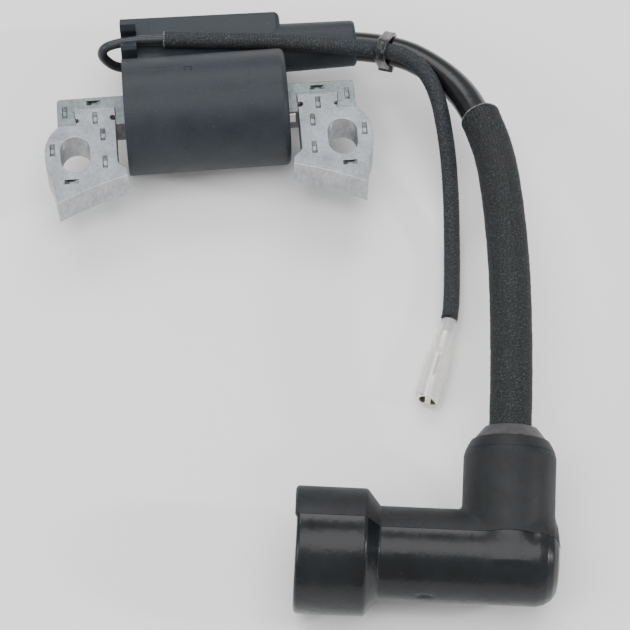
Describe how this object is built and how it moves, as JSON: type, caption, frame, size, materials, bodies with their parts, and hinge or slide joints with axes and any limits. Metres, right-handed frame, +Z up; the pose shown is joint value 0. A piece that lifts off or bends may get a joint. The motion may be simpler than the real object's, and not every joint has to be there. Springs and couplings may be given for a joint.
{
  "type": "ignition coil",
  "caption": "Flywheel-magneto ignition coil for a small petrol engine: laminated U core, moulded coil body, braided high-tension lead with elbow spark plug boot, and a kill wire with bullet terminal",
  "frame": {"origin": "on the bench under the middle of the coil body, midway between the two mounting slots in X", "axes": "+Z up from the bench, +X along the core bar towards the lead, +Y away from the flywheel"},
  "size_m": [0.108, 0.1561, 0.0301],
  "materials": {
    "housing": "glass-filled nylon, fine moulded grain, satin",
    "potting": "black epoxy, slightly glossy",
    "arm_steel": "stamped silicon steel, dull grey",
    "bar_steel": "stamped silicon steel, darker oxide coat",
    "bobbin": "moulded nylon",
    "copper": "enamelled copper wire",
    "board": "glass-epoxy board",
    "semiconductor": "black epoxy package",
    "brass": "plain",
    "spring_steel": "plain wire",
    "lead_jacket": "smooth silicone-coated jacket, glossy",
    "braid": "braided glass sleeving, black with grey flecks",
    "wire_jacket": "smooth PVC",
    "nylon_tie": "nylon, glossy",
    "tinned_brass": "tinned brass, bright",
    "clear_cover": "clear soft PVC, milky",
    "boot_rubber": "moulded rubber, glossy"
  },
  "bodies": {
    "root": {"housing_shell": "housing", "potting_compound": "potting", "core_bar": "bar_steel", "left_arm": "arm_steel", "right_arm": "arm_steel", "primary_bobbin": "bobbin", "primary_winding": "copper", "secondary_bobbin": "bobbin", "secondary_winding": "copper", "control_board": "board", "power_transistor": "semiconductor", "ht_terminal_pin": "brass", "ground_tab": "brass", "ht_lead_jacket": "lead_jacket", "ht_lead_conductor": "copper", "ht_lead_sleeve": "braid", "kill_wire_jacket": "wire_jacket", "kill_wire_conductor": "copper", "kill_wire_sleeve": "braid", "cable_tie": "nylon_tie", "kill_terminal": "tinned_brass"},
    "boot": {"plug_boot": "boot_rubber", "boot_lead_terminal": "brass", "plug_clip": "brass", "clip_ring": "spring_steel"},
    "cover": {"terminal_cover": "clear_cover"}
  },
  "joints": [
    {"name": "boot_swivel", "type": "hinge", "parent": "root", "child": "boot", "pos_m": [0.06038, -0.0921, 0.02115], "axis": [0.1261, 0.9577, 0.2588], "continuous": true},
    {"name": "cover_slide", "type": "slide", "parent": "root", "child": "cover", "axis": [0.3419, 0.9397, 0], "range_m": [0, 0.002]}
  ]
}
